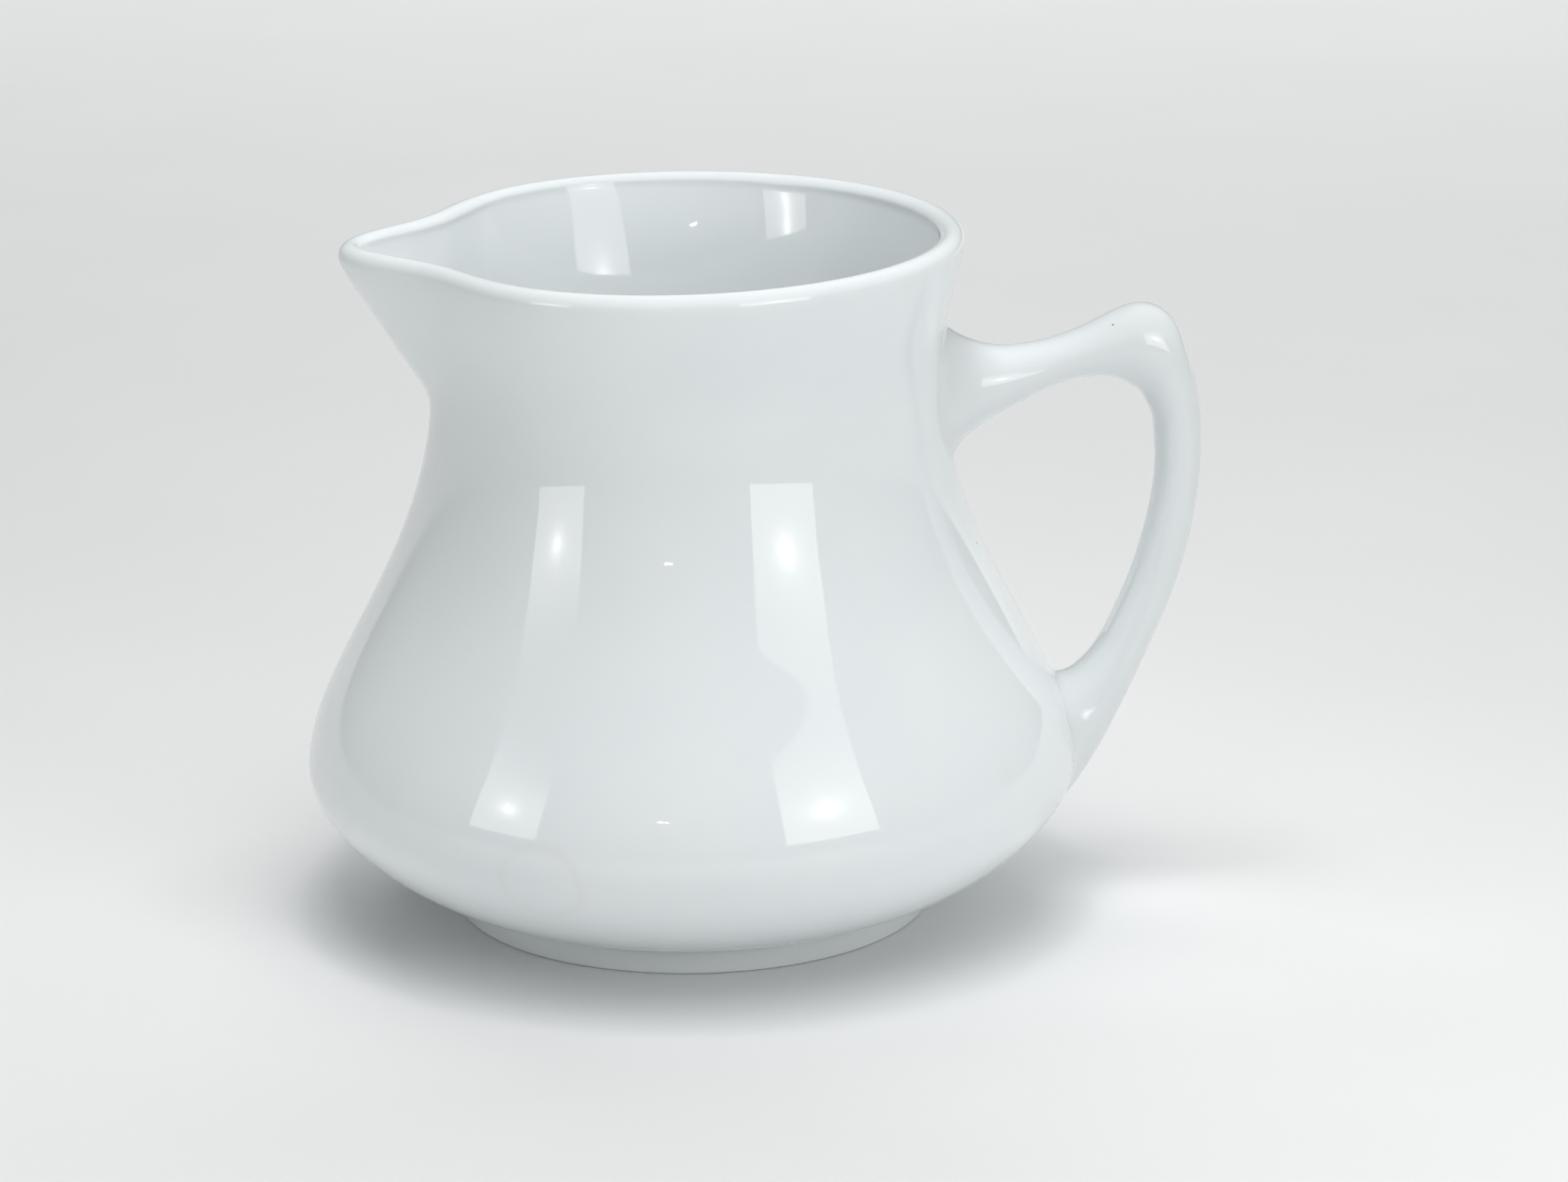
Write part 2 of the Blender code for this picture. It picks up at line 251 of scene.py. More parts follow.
def closed_surface(name, grid, first_pole=None, last_pole=None):
    """A mesh from a grid whose columns close round.

    Each cell is one quad. A pole is a point that closes the first or the last row with a fan; with
    no poles the rows close round too, as on a ring.
    """
    rows, columns = grid.shape[:2]
    index = np.arange(rows * columns).reshape(rows, columns)
    beside = np.roll(index, -1, axis=1)
    points = grid.reshape(-1, 3)
    if first_pole is None:
        above, above_beside = np.roll(index, -1, axis=0), np.roll(beside, -1, axis=0)
        quads = np.stack([index, beside, above_beside, above], axis=-1).reshape(-1, 4)
        fans = np.empty((0, 3), int)
    else:
        quads = np.stack([index[:-1], beside[:-1], beside[1:], index[1:]], axis=-1).reshape(-1, 4)
        first, last = len(points), len(points) + 1
        points = np.concatenate([points, [first_pole], [last_pole]])
        start = np.stack([beside[0], index[0], np.full(columns, first)], axis=-1)
        end = np.stack([index[-1], beside[-1], np.full(columns, last)], axis=-1)
        fans = np.concatenate([start, end])
    mesh = bpy.data.meshes.new(name)
    mesh.vertices.add(len(points))
    mesh.vertices.foreach_set("co", points.astype(np.float32).ravel())
    corners = np.concatenate([quads.ravel(), fans.ravel()])
    mesh.loops.add(len(corners))
    mesh.loops.foreach_set("vertex_index", corners.astype(np.int32))
    starts = np.concatenate([4 * np.arange(len(quads)), 4 * len(quads) + 3 * np.arange(len(fans))])
    mesh.polygons.add(len(starts))
    mesh.polygons.foreach_set("loop_start", starts.astype(np.int32))
    mesh.update(calc_edges=True)
    mesh.validate()
    mesh.shade_smooth()
    return mesh


def add_piece(name, mesh, material, slot, *nodes):
    """Puts a finished mesh into the scene, riding the pitcher and standing for its CAD nodes."""
    mesh.materials.append(material)
    piece = bpy.data.objects.new(name, mesh)
    bpy.context.scene.collection.objects.link(piece)
    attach(piece, BODY)
    if nodes:
        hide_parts(*nodes)
    return piece


# The pot

# Points on each curve of the profile, before it is read at even distances.
FINE_STEPS = 400


def pot_profile(pot, count):
    """The outside of the thrown wall from the heel up to the rim, as (radius, height) rows.

    Three Beziers join smoothly: the underside out to the belly, the shoulder in to the neck, and
    the flare up to the rim. A pull is how far an inner point of a Bezier stands from its end.
    """
    heel = FOOT_RADIUS + pot.heel_ledge
    bulge = pot.belly_height - UNDERSIDE
    fall = pot.neck_height - pot.belly_height
    flare = pot.rim_height - pot.neck_height
    heel_out, heel_up = 0.28 * (pot.belly_radius - heel), 0.02 * bulge
    belly_down, belly_up = 0.455 * bulge, 0.235 * fall
    neck_down, neck_up = 0.45 * fall, 0.36 * flare
    rim_pull = 0.33 * flare
    rim_out, rim_up = rim_pull * math.sin(pot.rim_flare), rim_pull * math.cos(pot.rim_flare)
    under = bezier(
        (heel, UNDERSIDE),
        (heel + heel_out, UNDERSIDE + heel_up),
        (pot.belly_radius, pot.belly_height - belly_down),
        (pot.belly_radius, pot.belly_height),
        FINE_STEPS,
    )
    shoulder = bezier(
        (pot.belly_radius, pot.belly_height),
        (pot.belly_radius, pot.belly_height + belly_up),
        (pot.neck_radius, pot.neck_height - neck_down),
        (pot.neck_radius, pot.neck_height),
        FINE_STEPS,
    )
    mouth = bezier(
        (pot.neck_radius, pot.neck_height),
        (pot.neck_radius, pot.neck_height + neck_up),
        (pot.rim_radius - rim_out, pot.rim_height - rim_up),
        (pot.rim_radius, pot.rim_height),
        FINE_STEPS,
    )
    return evenly(np.concatenate([under, shoulder[1:], mouth[1:]]), count)


def lip_offset(pot, turn, height):
    """How far the pulled mouth moves a point of the thrown wall outwards.

    The lip is a narrow bell exp(-(turn / spread)^2) added to the round wall, the pinch beside it a
    wider bell taken away, and the lean a cosine. They grow with r, the height above the lip's foot
    as a part of the flare, which a softplus rounds off. The lip's tip curls in by r^8, and the
    flare is hollowed at the back by 4 r (1 - r) ((1 - cos(turn)) / 2)^2.
    """
    turn = np.mod(turn + np.pi, 2 * np.pi) - np.pi
    narrow = 0.6
    above = pot.lip_crease * np.logaddexp(0, (height - pot.lip_foot) / pot.lip_crease)
    rise = above / (pot.rim_height - pot.lip_foot)
    reach = pot.lip_reach * (1 - np.exp(-above / pot.lip_ramp)) - pot.lip_curl * rise**8
    pinch = pot.pinch_depth * rise**2
    spread = pot.lip_spread * (narrow + (1 - narrow) * np.minimum(rise, 1))
    lip = (reach + pinch) * np.exp(-((turn / spread) ** 2))
    drawn_in = pinch * np.exp(-((turn / pot.pinch_spread) ** 2))
    hollow = pot.back_hollow * 4 * rise * (1 - rise) * ((1 - np.cos(turn)) / 2) ** 2
    return lip - drawn_in + pot.lip_lean * rise**2 * np.cos(turn) - hollow


def pot_outside(pot, turn, radius, height):
    """Points of the pot's outside: the thrown wall moved out by the lip."""
    return around(radius + lip_offset(pot, turn, height), turn, height)


def flat_disc(turn, outer, height, rows):
    """Rings of a flat disc from near its middle out to its edge."""
    return around(np.linspace(0, outer, rows + 1)[1:, None], turn, height)


def outward(grid):
    """Unit normals of a grid whose rows rise and whose columns go round, by central differences."""
    return unit(np.cross(np.gradient(grid, axis=0), round_derivative(grid)))


def pot_surface(pot, columns=360, wall_rows=104, rim_rows=18, floor_rows=8):
    """The whole skin of the pot, from the middle of its inner floor over the rim to its underside.

    The rim is a half circle across the wall: centre + wall / 2 (cos a normal + sin a up), with a
    from pi to 0. The top of the wall is shifted by r^4 until that centre has its height all round,
    a little lower at the lip. The inside is the outside moved in along its normals by the wall,
    which thins by a bell exp(-((z - thinnest) / spread)^2) just above the neck.
    """
    thinnest, thin_spread = pot.neck_height + 4.5 * MM, 10 * MM
    turn = full_turn(columns)
    profile = pot_profile(pot, wall_rows)
    height = profile[:, 1:]
    outside = pot_outside(pot, turn[None, :], profile[:, :1], height)
    half = pot.wall / 2
    centre_height = outside[-1, :, 2] - half * outward(outside)[-1, :, 2]
    wanted = TOP - half - pot.lip_droop * (1 + np.cos(turn)) / 2
    rise = np.clip((height - pot.lip_foot) / (pot.rim_height - pot.lip_foot), 0, 1)
    outside[..., 2] += rise**4 * (wanted - centre_height)
    normal = outward(outside)
    thinning = pot.neck_thinning * np.exp(-(((height - thinnest) / thin_spread) ** 2))
    inside = outside - (pot.wall - thinning)[..., None] * normal
    up = unit(np.cross(unit(round_derivative(outside[-1:])[0]), normal[-1]))
    centre = outside[-1] - half * normal[-1]
    bend = np.linspace(np.pi, 0, rim_rows + 2)[1:-1, None, None]
    rim = centre + half * (np.cos(bend) * normal[-1] + np.sin(bend) * up)
    floor_height = inside[0, :, 2].mean()
    floor_radius = np.hypot(inside[0, 0, 0] - AXIS_X, inside[0, 0, 1])
    floor = flat_disc(turn, floor_radius, floor_height, floor_rows)[:-1]
    base = flat_disc(turn, profile[0, 0], UNDERSIDE, floor_rows)[:-1][::-1]
    grid = np.concatenate([floor, inside, rim, outside[::-1], base])
    return grid, (AXIS_X, 0, floor_height), (AXIS_X, 0, UNDERSIDE)


# The handle


def handle_path(handle):
    """Stations of the handle between its roots: inner edge, outer edge, and width.

    Each edge is (x from the pot's axis, height) in mm, and the width is a part of the grip's. The
    handle leaves the upper root, rises along the arm to the thumb knuckle, turns down into the grip
    and runs in towards the belly. Where the reach is more than the stations' own, they move out.
    """
    own_reach = 78.9 * MM
    stations = np.array([
        (50.9, 77.2, 49.8, 85.5, 1.12),
        (54.5, 79.0, 53.8, 86.0, 1.04),
        (58.3, 80.2, 57.6, 87.0, 1.0),
        (62.0, 80.7, 61.2, 88.5, 1.02),
        (65.0, 80.3, 65.3, 90.5, 1.08),
        (67.2, 79.3, 69.5, 91.5, 1.12),
        (69.0, 77.9, 73.6, 89.6, 1.1),
        (70.1, 76.0, 75.8, 85.4, 1.06),
        (71.0, 74.0, 77.2, 81.0, 1.03),
        (71.4, 71.1, 78.1, 76.1, 1.01),
        (71.6, 67.8, 78.45, 71.1, 1.0),
        (71.2, 61.5, 77.95, 61.8, 1.0),
        (69.7, 54.5, 76.5, 53.7, 1.0),
        (67.2, 46.9, 73.8, 45.2, 1.06),
        (64.0, 39.7, 70.5, 37.6, 1.2),
    ])
    stations[:, :4] *= MM
    stations[:, 4] *= handle.grip_width
    arm = 0.3
    grown = np.linspace(0, 1, len(stations)).clip(0, arm) / arm
    for edge in (0, 2):
        stations[:, edge] += (handle.reach - own_reach) * grown
    return stations


def landing(pot, turn, scale, middle, up, down, side, outer_side):
    """A ring drawn on the pot's outside round a root: an egg with its own reach up and down.

    outer_side is +1 where the ring's top is the handle's outer side, and -1 where its bottom is.
    """
    rise = np.sin(turn) * outer_side
    height = middle + scale * rise * np.where(rise > 0, up, down)
    profile = pot_profile(pot, 2000)
    radius = np.interp(height, profile[:, 1], profile[:, 0])
    round_by = scale * side * np.cos(turn) / radius
    return pot_outside(pot, np.pi - round_by, radius, height)


def hermite(start, start_pull, end, end_pull, rows):
    """Cubic Hermite stretch between two rings, both ends included."""
    w = np.linspace(0, 1, rows)[:, None, None]
    h_start, h_end = 2 * w**3 - 3 * w**2 + 1, -2 * w**3 + 3 * w**2
    return (
        h_start * start + h_end * end
        + (w**3 - 2 * w**2 + w) * start_pull + (w**3 - w**2) * end_pull
    )


def by_side(turn, outer, side, inner):
    """A size that changes round the handle from its outer over its lateral to its inner side."""
    lift = np.sin(turn)
    mixed = side + (outer - side) * np.maximum(lift, 0) + (inner - side) * np.maximum(-lift, 0)
    return mixed[:, None]


def squared(part):
    """A sine or cosine raised to 0.87 with its sign kept, which makes a circle a hair square."""
    return np.sign(part) * np.abs(part) ** 0.87


def strap_sections(handle, turn, rows):
    """Oval sections along the handle's path.

    A section is the middle of its two edges + half their difference times sin(v) + width / 2 cos(v)
    along Y, with sine and cosine drawn out so that it is a little square.
    """
    path = handle_path(handle)
    knots = travelled((path[:, 0:2] + path[:, 2:4]) / 2)
    even = natural_spline(knots, path, np.linspace(0, knots[-1], rows))
    level = np.zeros(rows)
    inner = np.column_stack([even[:, 0] + AXIS_X, level, even[:, 1]])[:, None]
    outer = np.column_stack([even[:, 2] + AXIS_X, level, even[:, 3]])[:, None]
    sine, cosine = (squared(part)[None, :, None] for part in (np.sin(turn), np.cos(turn)))
    lateral = even[:, 4, None, None] / 2 * np.array([0.0, 1.0, 0.0])
    return (inner + outer) / 2 + (outer - inner) / 2 * sine + lateral * cosine


def root_fillet(pot, turn, place, ring, heading, pulls, rows):
    """A fillet from a root's landing on the pot to a ring of the handle, with its tuck and pole.

    It leaves the pot along its surface towards the root's middle, tilted off it by lift, and meets
    the ring along heading. The tuck sinks its edge into the pot, and the pole closes it deeper.
    """
    proud, tuck_depth, pole_depth = 0.004 * MM, 0.6 * MM, 1.9 * MM
    pot_pull, strap_pull, lift = pulls
    edge = landing(pot, turn, 1.0, **place)
    inward = unit(landing(pot, turn, 0.97, **place) - edge)
    normal = unit(np.cross(inward, round_derivative(edge[None])[0]))
    outwards = edge - (AXIS_X, 0, 50 * MM)
    normal *= np.sign((normal * outwards).sum(-1, keepdims=True))
    edge = edge + proud * normal
    start = pot_pull * unit(inward + lift * normal)
    fillet = hermite(edge, start, ring, strap_pull * heading, rows)
    tuck = edge - tuck_depth * normal
    pole = landing(pot, turn, 0.0, **place)[0] - pole_depth * normal.mean(0)
    return tuck[None], fillet, pole


def handle_surface(pot, handle, columns=96, rows=170, fillet_rows=36):
    """The handle's sections, with a Hermite fillet at each end that lands on the pot."""
    turn = full_turn(columns)
    strap = strap_sections(handle, turn, rows)
    root = {
        "middle": handle.root_height,
        "up": handle.root_up,
        "down": handle.root_down,
        "side": handle.root_side,
        "outer_side": 1,
    }
    tail = {
        "middle": handle.tail_height,
        "up": handle.tail_up,
        "down": handle.tail_down,
        "side": handle.tail_side,
        "outer_side": -1,
    }
    # Pulls along the pot and along the handle, and the lift, which only the tail's tip has.
    tip = 1.6 * np.maximum(np.sin(turn), 0)[:, None] ** 4
    root_pulls = by_side(turn, 11.4, 16, 11.5) * MM, by_side(turn, 10.8, 19, 4.5) * MM, 0
    tail_pulls = by_side(turn, 14.5, 17, 18) * MM, by_side(turn, 55, 24, 0.5) * MM, tip
    first_tuck, first, first_pole = root_fillet(
        pot, turn, root, strap[0], unit(strap[1] - strap[0]), root_pulls, fillet_rows
    )
    last_tuck, last, last_pole = root_fillet(
        pot, turn, tail, strap[-1], unit(strap[-2] - strap[-1]), tail_pulls, fillet_rows
    )
    grid = np.concatenate([first_tuck, first, strap[1:-1], last[::-1], last_tuck])
    return grid, first_pole, last_pole


# The foot


def ring_surface(outline, columns=288):
    """A closed outline of (radius, height) carried once round the pot's axis."""
    return around(outline[:, :1], full_turn(columns), outline[:, 1:])


def quarter(centre, radius, start, count=8):
    """A quarter circle in the (radius, height) plane, turning clockwise from its start angle."""
    bend = np.radians(start) - np.linspace(0, np.pi / 2, count)
    return np.column_stack([centre[0] + radius * np.cos(bend), centre[1] + radius * np.sin(bend)])


def foot_outline(foot):
    """Section of the glazed ring: a side that swells by a hair as a half sine, rounded lower edges,
    and its top sunk in the pot. Its lowest face is a hair above the ground face."""
    sunk, clear, bulge = 0.6 * MM, 0.04 * MM, 0.06 * MM
    inner, top, low = foot.radius - foot.width, UNDERSIDE + sunk, foot.edge + clear
    level = np.linspace(top, low, 14)
    swell = bulge * (np.sin(np.pi * (level - low) / (top - low)) - 1)
    side = np.column_stack([foot.radius + swell, level])
    outer = quarter((foot.radius - bulge - foot.edge, low), foot.edge, 0)
    inside = quarter((inner + foot.edge, low), foot.edge, -90)
    return np.concatenate([side[:-1], outer, inside, [(inner, top)]])


def bare_outline(foot):
    """Section of the ground face: a flat ring a hair below the glaze, with broken edges."""
    middle = foot.radius - foot.width / 2
    half, height, edge = foot.bare_width / 2, 0.9 * MM, 0.15 * MM
    outer = quarter((middle + half - edge, edge), edge, 0, 4)
    inner = quarter((middle - half + edge, edge), edge, -90, 4)
    return np.concatenate([[(middle + half, height)], outer, inner, [(middle - half, height)]])


# Finishes

# Sockets of a Mix node that mixes colours.
MIX_FACTOR, MIX_A, MIX_B, MIX_RESULT = 0, 6, 7, 2


def linear(hex_colour):
    """An sRGB hex value as the linear colour that the shaders take."""
    value = np.array([int(hex_colour[i : i + 2], 16) for i in (0, 2, 4)]) / 255
    value = np.where(value <= 0.04045, value / 12.92, ((value + 0.055) / 1.055) ** 2.4)
    return (*value.tolist(), 1.0)


def add_node(tree, kind, settings=None, values=None, links=None):
    """Adds a node with its settings, its sockets' values and links from other nodes' outputs."""
    node = tree.nodes.new(kind)
    for name, value in (settings or {}).items():
        setattr(node, name, value)
    for name, value in (values or {}).items():
        node.inputs[name].default_value = value
    for name, output in (links or {}).items():
        tree.links.new(output, node.inputs[name])
    return node


def new_material(name):
    """A material with its Principled shader, and the Object coordinates that its patterns read."""
    material = bpy.data.materials.new(name)
    material.use_nodes = True
    tree = material.node_tree
    tree.nodes.clear()
    shader = add_node(tree, "ShaderNodeBsdfPrincipled")
    add_node(tree, "ShaderNodeOutputMaterial", links={"Surface": shader.outputs["BSDF"]})
    place = add_node(tree, "ShaderNodeTexCoord").outputs["Object"]
    return material, tree, shader, place


def ring_mark(tree, place, centre, radius, width, strength):
    """A faint ring: strength at radius from the centre, easing to 0 at width to either side."""
    away = add_node(
        tree, "ShaderNodeVectorMath", {"operation": "DISTANCE"}, {1: centre}, {0: place}
    )
    off = add_node(
        tree, "ShaderNodeMath", {"operation": "SUBTRACT"}, {1: radius}, {0: away.outputs["Value"]}
    )
    size = add_node(
        tree, "ShaderNodeMath", {"operation": "ABSOLUTE"}, links={0: off.outputs["Value"]}
    )
    return add_node(
        tree,
        "ShaderNodeMapRange",
        {"interpolation_type": "SMOOTHSTEP"},
        {"From Min": 0.0, "From Max": width, "To Min": strength, "To Max": 0.0},
        {"Value": size.outputs["Value"]},
    ).outputs["Result"]


def glazed_china(finish, name, thin, thick):
    """Vitrified china under a clear glaze: cast, dipped and fired.

    The body is an even cool white that greys a little where the glaze lies thicker, with a rare
    iron speck and two faint tea stains. The glaze is glass smooth, and its slow ripple makes the
    edges of reflections waver.
    """
    material, tree, shader, place = new_material(name)
    cloud = add_node(
        tree,
        "ShaderNodeTexNoise",
        values={"Scale": 1 / (28 * MM), "Detail": 3.0},
        links={"Vector": place},
    ).outputs["Fac"]
    body = add_node(
        tree,
        "ShaderNodeMix",
        {"data_type": "RGBA"},
        {MIX_A: linear(thin), MIX_B: linear(thick)},
        {MIX_FACTOR: cloud},
    ).outputs[MIX_RESULT]

    # One cell in seven, each 11 mm across, holds a speck that fades out from 0.3 to 0.6 mm across.
    cells = add_node(
        tree, "ShaderNodeTexVoronoi", {"feature": "F1"}, {"Scale": 1 / (11 * MM)}, {"Vector": place}
    )
    chance = add_node(tree, "ShaderNodeSeparateColor", links={"Color": cells.outputs["Color"]})
    chosen = add_node(
        tree, "ShaderNodeMath", {"operation": "GREATER_THAN"}, {1: 0.86}, {0: chance.outputs["Red"]}
    )
    dot = add_node(
        tree,
        "ShaderNodeMapRange",
        {"interpolation_type": "SMOOTHSTEP"},
        {"From Min": 0.014, "From Max": 0.026, "To Min": 0.7, "To Max": 0.0},
        {"Value": cells.outputs["Distance"]},
    )
    speck = add_node(
        tree,
        "ShaderNodeMath",
        {"operation": "MULTIPLY"},
        links={0: chosen.outputs["Value"], 1: dot.outputs["Result"]},
    )
    low_ring = ring_mark(tree, place, RING_STAIN, 6.2 * MM, 1.5 * MM, 0.10)
    low_spot = ring_mark(tree, place, SPOT_STAIN, 0.0, 3.5 * MM, 0.09)
    for colour, amount in (
        (finish.stain, low_ring),
        (finish.stain, low_spot),
        (finish.speck, speck.outputs["Value"]),
    ):
        body = add_node(
            tree,
            "ShaderNodeMix",
            {"data_type": "RGBA"},
            {MIX_B: linear(colour)},
            {MIX_FACTOR: amount, MIX_A: body},
        ).outputs[MIX_RESULT]

    gloss = add_node(
        tree,
        "ShaderNodeMapRange",
        values={"From Min": 0.3, "From Max": 0.7, "To Min": 0.02, "To Max": 0.04},
        links={"Value": cloud},
    )
    # The glaze's slow ripple is about 15 mm across, and its fine one 2.2 mm.
    normal = {}
    for size, depth in ((15 * MM, 0.05 * MM), (2.2 * MM, 0.0018 * MM)):
        ripple = add_node(
            tree,
            "ShaderNodeTexNoise",
            values={"Scale": 1 / size, "Detail": 1.0},
            links={"Vector": place},
        )
        bump = add_node(
            tree,
            "ShaderNodeBump",
            values={"Strength": 1.0, "Distance": depth},
            links={"Height": ripple.outputs["Fac"], **normal},
        )
        normal = {"Normal": bump.outputs["Normal"]}
    tree.links.new(body, shader.inputs["Base Color"])
    tree.links.new(gloss.outputs["Result"], shader.inputs["Roughness"])
    tree.links.new(normal["Normal"], shader.inputs["Normal"])
    shader.inputs["IOR"].default_value = 1.5
    return material


def thick_glazed_china(finish):
    """The same glaze on the handle and the foot, where it lies thicker and greyer, made once."""
    name = "thick_glazed_china"
    made = bpy.data.materials.get(name)
    return made or glazed_china(finish, name, finish.glaze_thick, finish.glaze_pooled)


def bare_china(finish):
    """Bare fired china, ground flat on the foot: matt and warm white, with a tooth of 0.6 mm and
    grey scuffs some 5 mm across."""
    material, tree, shader, place = new_material("bare_china")
    patches = add_node(
        tree,
        "ShaderNodeTexNoise",
        values={"Scale": 1 / (5 * MM), "Detail": 4.0},
        links={"Vector": place},
    )
    scuff = add_node(
        tree,
        "ShaderNodeMapRange",
        values={"From Min": 0.45, "From Max": 0.75, "To Min": 0.0, "To Max": 0.5},
        links={"Value": patches.outputs["Fac"]},
    )
    base = add_node(
        tree,
        "ShaderNodeMix",
        {"data_type": "RGBA"},
        {MIX_A: linear(finish.bare), MIX_B: linear(finish.speck)},
        {MIX_FACTOR: scuff.outputs["Result"]},
    )
    tooth = add_node(
        tree,
        "ShaderNodeTexNoise",
        values={"Scale": 1 / (0.6 * MM), "Detail": 4.0},
        links={"Vector": place},
    )
    bump = add_node(
        tree,
        "ShaderNodeBump",
        values={"Strength": 0.6, "Distance": 0.05 * MM},
        links={"Height": tooth.outputs["Fac"]},
    )
    tree.links.new(base.outputs[MIX_RESULT], shader.inputs["Base Color"])
    tree.links.new(bump.outputs["Normal"], shader.inputs["Normal"])
    shader.inputs["Roughness"].default_value = 0.75
    return material


def table_finish(finish):
    """Matt white laminate, the table top: its white clouds by a hair over some 60 mm, and its
    pressed grain is 0.8 mm."""
    material, tree, shader, place = new_material("white_laminate")
    cloud = add_node(
        tree,
        "ShaderNodeTexNoise",
        values={"Scale": 1 / (60 * MM), "Detail": 2.0},
        links={"Vector": place},
    )
    base = add_node(
        tree,
        "ShaderNodeMix",
        {"data_type": "RGBA"},
        {MIX_A: linear(finish.table), MIX_B: linear(finish.table_cloud)},
        {MIX_FACTOR: cloud.outputs["Fac"]},
    )
    grain = add_node(
        tree,
        "ShaderNodeTexNoise",
        values={"Scale": 1 / (0.8 * MM), "Detail": 2.0},
        links={"Vector": place},
    )
    bump = add_node(
        tree,
        "ShaderNodeBump",
        values={"Strength": 0.3, "Distance": 0.01 * MM},
        links={"Height": grain.outputs["Fac"]},
    )
    tree.links.new(base.outputs[MIX_RESULT], shader.inputs["Base Color"])
    tree.links.new(bump.outputs["Normal"], shader.inputs["Normal"])
    shader.inputs["Roughness"].default_value = 0.9
    return material


# Operators

SHARP_EDGE = math.radians(50)


class PITCHER_OT_pot(bpy.types.Operator):
    """Adds the pot with its pulled lip"""

    bl_idname = "pitcher.pot"
    bl_label = "Add Pot"

    def execute(self, context):
        scene = context.scene
        finish = scene.pitcher_finish
        mesh = closed_surface("pot", *pot_surface(scene.pitcher_pot))
        glaze = glazed_china(finish, "clear_glazed_china", finish.glaze, finish.glaze_deep)
        add_piece("pot", mesh, glaze, "glazed_china", "body", "spout")
        return {"FINISHED"}


class PITCHER_OT_handle(bpy.types.Operator):
    """Adds the ear handle with its two roots"""

    bl_idname = "pitcher.handle"
    bl_label = "Add Handle"

    def execute(self, context):
        scene = context.scene
        surface = handle_surface(scene.pitcher_pot, scene.pitcher_handle)
        mesh = closed_surface("ear_handle", *surface)
        mesh.set_sharp_from_angle(angle=SHARP_EDGE)
        glaze = thick_glazed_china(scene.pitcher_finish)
        add_piece("ear_handle", mesh, glaze, "glazed_china", "handle")
        return {"FINISHED"}


class PITCHER_OT_foot(bpy.types.Operator):
    """Adds the glazed foot ring and its bare ground face"""

    bl_idname = "pitcher.foot"
    bl_label = "Add Foot"

    def execute(self, context):
        scene = context.scene
        foot = scene.pitcher_foot
        glaze = thick_glazed_china(scene.pitcher_finish)
        ring = closed_surface("glazed_foot", ring_surface(foot_outline(foot)))
        add_piece("glazed_foot", ring, glaze, "glazed_china", "foot_ring")
        face = closed_surface("ground_foot_face", ring_surface(bare_outline(foot)))
        face.set_sharp_from_angle(angle=SHARP_EDGE)
        add_piece("ground_foot_face", face, bare_china(scene.pitcher_finish), "bare_china")
        return {"FINISHED"}


class PITCHER_OT_stage(bpy.types.Operator):
    """Adds the table, the lights and the camera"""

    bl_idname = "pitcher.stage"
    bl_label = "Add Stage"

    def execute(self, context):
        scene = context.scene
        add_table(scene.pitcher_finish)
        add_lights()
        add_camera()
        scene.view_settings.view_transform = "Standard"
        return {"FINISHED"}


# The stage


def add_table(finish):
    """A round white table top, far wider than the view."""
    bpy.ops.mesh.primitive_circle_add(vertices=96, radius=4.0, fill_type="NGON")
    table = bpy.context.object
    table.name = "table_top"
    table.data.materials.append(table_finish(finish))


CAMERA_TURN = math.radians(-6)


def studio_direction(turn):
    """Horizontal direction from the pot at an angle to the right of the camera's side."""
    bearing = turn + CAMERA_TURN
    return np.array([math.sin(bearing), -math.cos(bearing), 0.0])


def panel_glow(tree, glow, glow_at, fade):
    """Emission strength of a softbox: bright near its lamp, even below it and fading above it.

    It is (1 + glow exp(-q)) (1 - fade smoothstep(v from 0.45 to 1)), where v goes up the panel from
    0 to 1, and q is the distance from the lamp in units of its spread in width and in height.
    """
    spread_across, spread_up = 0.09, 0.06
    spot = add_node(tree, "ShaderNodeNewGeometry").outputs["Parametric"]
    middle = (1 - glow_at[0], glow_at[1], 0)
    shift = add_node(
        tree, "ShaderNodeVectorMath", {"operation": "SUBTRACT"}, {1: middle}, {0: spot}
    )
    scaled = add_node(
        tree,
        "ShaderNodeVectorMath",
        {"operation": "MULTIPLY"},
        {1: (1 / spread_across, 1 / spread_up, 0)},
        {0: shift.outputs["Vector"]},
    )
    away = add_node(
        tree, "ShaderNodeVectorMath", {"operation": "LENGTH"}, links={0: scaled.outputs["Vector"]}
    )
    core = add_node(
        tree,
        "ShaderNodeMath",
        {"operation": "POWER"},
        {0: math.exp(-1)},
        {1: away.outputs["Value"]},
    )
    lamp = add_node(
        tree,
        "ShaderNodeMath",
        {"operation": "MULTIPLY_ADD"},
        {1: glow, 2: 1.0},
        {0: core.outputs["Value"]},
    )
    part = add_node(tree, "ShaderNodeSeparateXYZ", links={0: spot})
    upper = add_node(
        tree,
        "ShaderNodeMapRange",
        {"interpolation_type": "SMOOTHSTEP"},
        {"From Min": 0.45, "From Max": 1.0, "To Min": 1.0, "To Max": 1 - fade},
        {"Value": part.outputs["Y"]},
    )
    strength = add_node(
        tree,
        "ShaderNodeMath",
        {"operation": "MULTIPLY"},
        links={0: lamp.outputs["Value"], 1: upper.outputs["Result"]},
    )
    return strength.outputs["Value"]


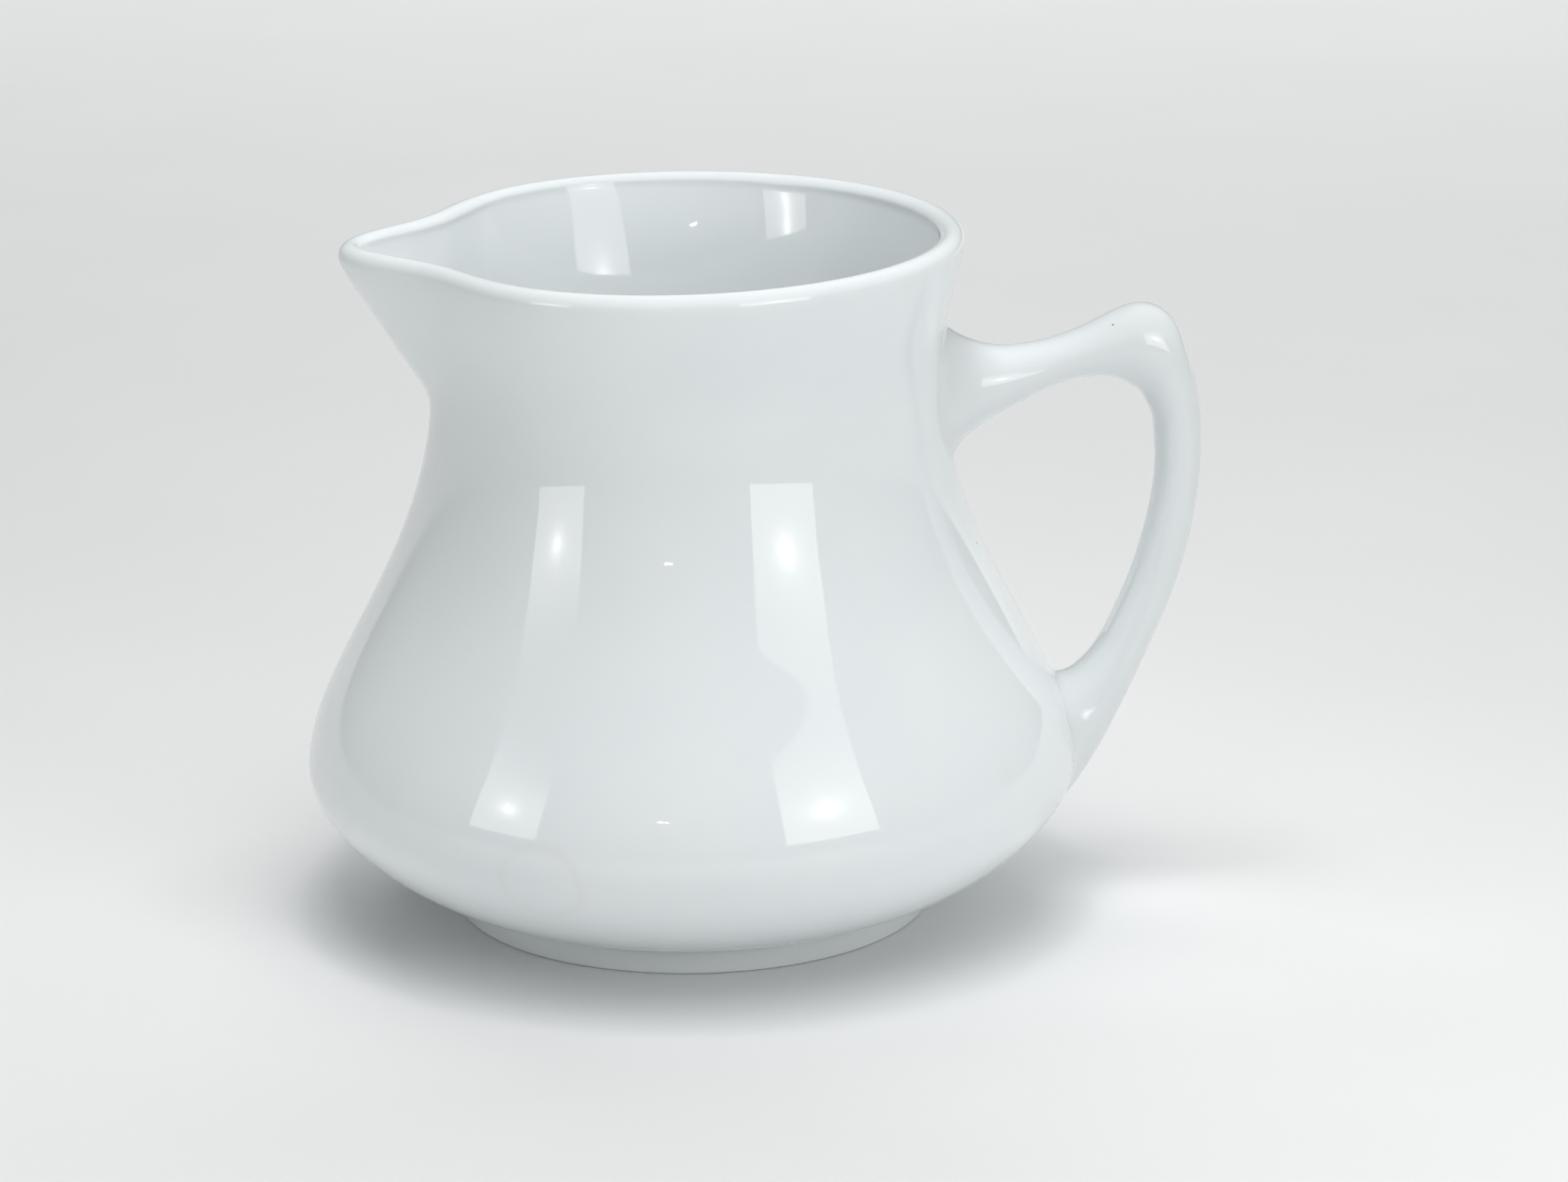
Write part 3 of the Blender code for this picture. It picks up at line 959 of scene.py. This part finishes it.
def add_light(name, size, watts, matrix, shape="RECTANGLE", reflected=True):
    """An area light at a matrix. Its own shape never shows to the camera, only in reflections."""
    light = bpy.data.lights.new(name, "AREA")
    light.shape = shape
    light.size, light.size_y = size
    light.energy = watts
    lamp = bpy.data.objects.new(name, light)
    lamp.matrix_world = matrix
    lamp.visible_camera = False
    lamp.visible_glossy = reflected
    bpy.context.scene.collection.objects.link(lamp)
    return light


def add_panel(name, degrees, distance, heights, across, watts, glow=0.0, glow_at=None, fade=0.0):
    """An upright rectangular light that faces the pot's axis, with a hot lamp in it if it glows."""
    low, high = heights
    left, right = across
    towards = studio_direction(math.radians(degrees))
    sideways = np.array([-towards[1], towards[0], 0.0])
    place = np.array([AXIS_X, 0, (low + high) / 2])
    place = place + distance * towards + (left + right) / 2 * sideways
    light = add_light(name, (right - left, high - low), watts, facing(place, towards))
    if glow:
        light.use_nodes = True
        tree = light.node_tree
        tree.nodes.clear()
        strength = panel_glow(tree, glow, glow_at, fade)
        emission = add_node(tree, "ShaderNodeEmission", links={"Strength": strength})
        add_node(tree, "ShaderNodeOutputLight", links={"Surface": emission.outputs["Emission"]})


def add_fill(name, degrees, distance, height, size, watts):
    """A big soft light that fills shadows, and is too even to show in the glaze."""
    place = distance * studio_direction(math.radians(degrees)) + np.array([0.0, 0.0, height])
    aim = facing(place, place - np.array([0.0, 0.0, 0.05]))
    add_light(name, (size, size), watts, aim, reflected=False)


def facing(place, back):
    """A matrix at place with its local Z along back and its local Y as upright as it can be."""
    z = Vector(back).normalized()
    x = Vector((0, 0, 1)).cross(z)
    x = x.normalized() if x.length > 1e-6 else Vector((1, 0, 0))
    y = z.cross(x)
    matrix = Matrix((x, y, z)).transposed().to_4x4()
    matrix.translation = Vector(place)
    return matrix


def add_lights():
    """Two tall softboxes in front, large fills, a soft top light and a pale surround.

    A panel is given by its angle, distance, heights, extent to each side, and watts; a fill by its
    angle, distance, height, size and watts.
    """
    left, right = ((0.070, 0.300), (-0.050, 0.118)), ((0.072, 0.325), (-0.128, 0.095))
    add_panel("left_softbox", -57, 0.46, *left, 0.32, glow=4.6, glow_at=(0.52, 0.385), fade=0.95)
    add_panel("right_softbox", 42, 0.46, *right, 0.53, glow=4.6, glow_at=(0.5, 0.435), fade=0.55)
    add_panel("lens_side_lamp", -8, 0.76, (0.308, 0.314), (-0.015, 0.027), 0.026)
    add_fill("high_front_fill", 10, 0.337, 0.884, 0.60, 2.7)
    add_fill("overhead_fill", 0, 0.122, 0.739, 0.35, 0.7)
    add_fill("right_fill", 85, 1.5, 0.5, 1.2, 1.9)
    add_fill("back_fill", 140, 1.7, 0.7, 1.2, 7.0)
    over_mouth = Matrix.Translation((AXIS_X, -0.02, 0.36))
    add_light("mouth_fill", (0.09, 0.09), 0.17, over_mouth, "DISK", reflected=False)
    behind = Matrix.Translation((0.0, 1.3, 1.2))
    add_light("background_light", (1.4, 1.0), 14.0, behind, reflected=False)
    world = bpy.data.worlds.new("studio")
    world.use_nodes = True
    background = world.node_tree.nodes["Background"]
    background.inputs["Color"].default_value = linear("F2F5F7")
    background.inputs["Strength"].default_value = 0.16
    bpy.context.scene.world = world


def add_camera():
    """A long lens a little above the rim, 6 degrees off square to the plane of lip and handle."""
    place = Vector((AXIS_X - 65.9 * MM, -764.8 * MM, 274.3 * MM))
    target = Vector((AXIS_X + 14.28 * MM, -1.50 * MM, 48.57 * MM))
    camera = bpy.data.cameras.new("camera")
    camera.lens = 120.3
    camera.sensor_width = 36.0
    camera.clip_start, camera.clip_end = 0.01, 20.0
    view = bpy.data.objects.new("camera", camera)
    roll = Matrix.Rotation(math.radians(-0.466), 4, "Z")
    view.matrix_world = facing(place, place - target) @ roll
    bpy.context.scene.collection.objects.link(view)
    bpy.context.scene.camera = view


class PITCHER_PT_panel(bpy.types.Panel):
    """Lists the pitcher's pieces"""

    bl_idname = "PITCHER_PT_panel"
    bl_label = "Pitcher"
    bl_space_type = "VIEW_3D"
    bl_region_type = "UI"
    bl_category = "Pitcher"

    def draw(self, context):
        for operator in OPERATORS:
            self.layout.operator(operator.bl_idname)
        for name, group in SETTINGS.items():
            box = self.layout.box()
            for setting in group.__annotations__:
                box.prop(getattr(context.scene, name), setting)


OPERATORS = (PITCHER_OT_pot, PITCHER_OT_handle, PITCHER_OT_foot, PITCHER_OT_stage)
CLASSES = (*SETTINGS.values(), *OPERATORS, PITCHER_PT_panel)


def register():
    for kind in CLASSES:
        bpy.utils.register_class(kind)
    for name, group in SETTINGS.items():
        setattr(bpy.types.Scene, name, bpy.props.PointerProperty(type=group))


def unregister():
    for name in SETTINGS:
        delattr(bpy.types.Scene, name)
    for kind in reversed(CLASSES):
        bpy.utils.unregister_class(kind)


def main():
    register()
    bpy.ops.pitcher.pot()
    bpy.ops.pitcher.handle()
    bpy.ops.pitcher.foot()
    bpy.ops.pitcher.stage()


if __name__ == "__main__":
    main()
